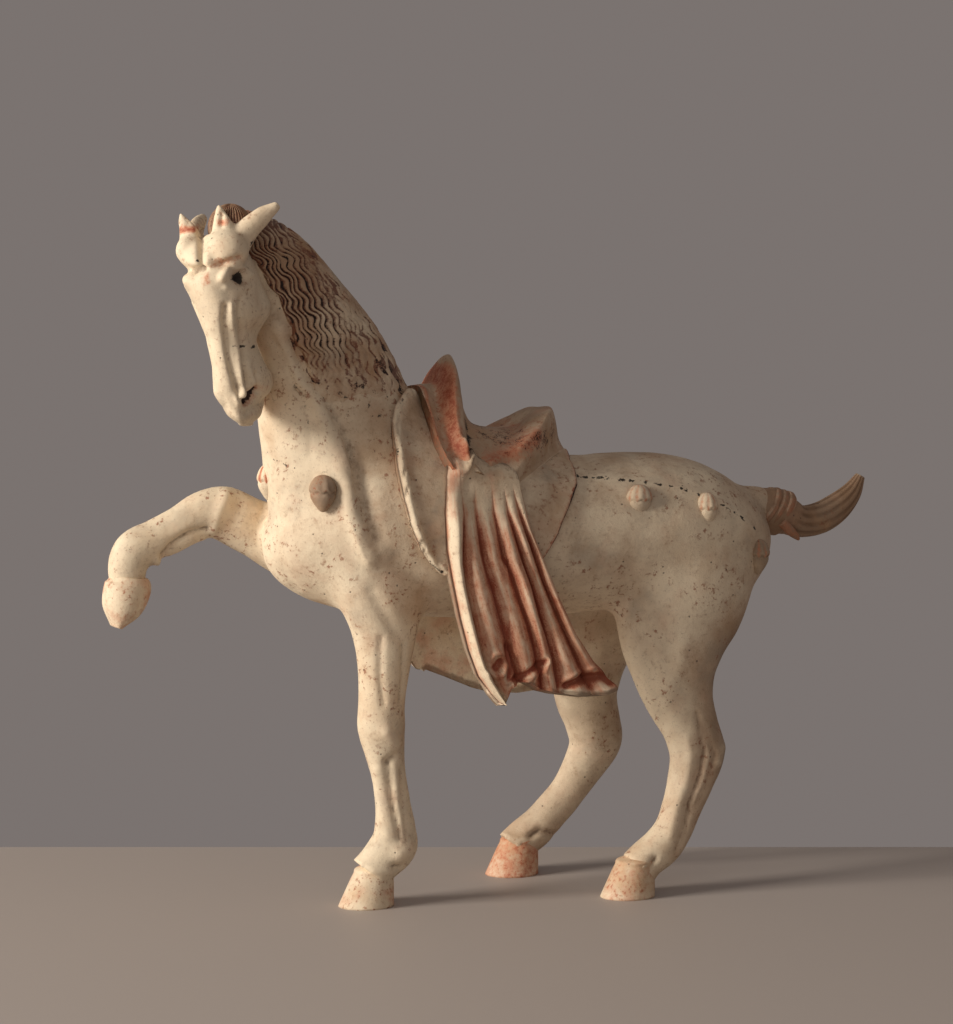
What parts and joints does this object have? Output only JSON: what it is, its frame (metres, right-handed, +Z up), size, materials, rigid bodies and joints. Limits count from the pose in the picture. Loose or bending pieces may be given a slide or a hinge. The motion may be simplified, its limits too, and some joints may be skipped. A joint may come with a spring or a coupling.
{
  "type": "pottery horse figure",
  "caption": "Prancing pottery horse in painted earthenware, one foreleg raised, head turned, with a cloth gathered over its saddle, combed mane and bound tail.",
  "frame": {"origin": "centre of the bounding box on the floor plane, under the belly", "axes": "+Z up, the horse faces -X, its left side is -Y"},
  "size_m": [0.5958, 0.1863, 0.5228],
  "materials": {
    "earthenware": "unglazed buff earthenware under worn cream slip, with red-brown pigment left in the mane and on the saddle cloth"
  },
  "bodies": {
    "root": {"horse": "earthenware"}
  },
  "joints": []
}
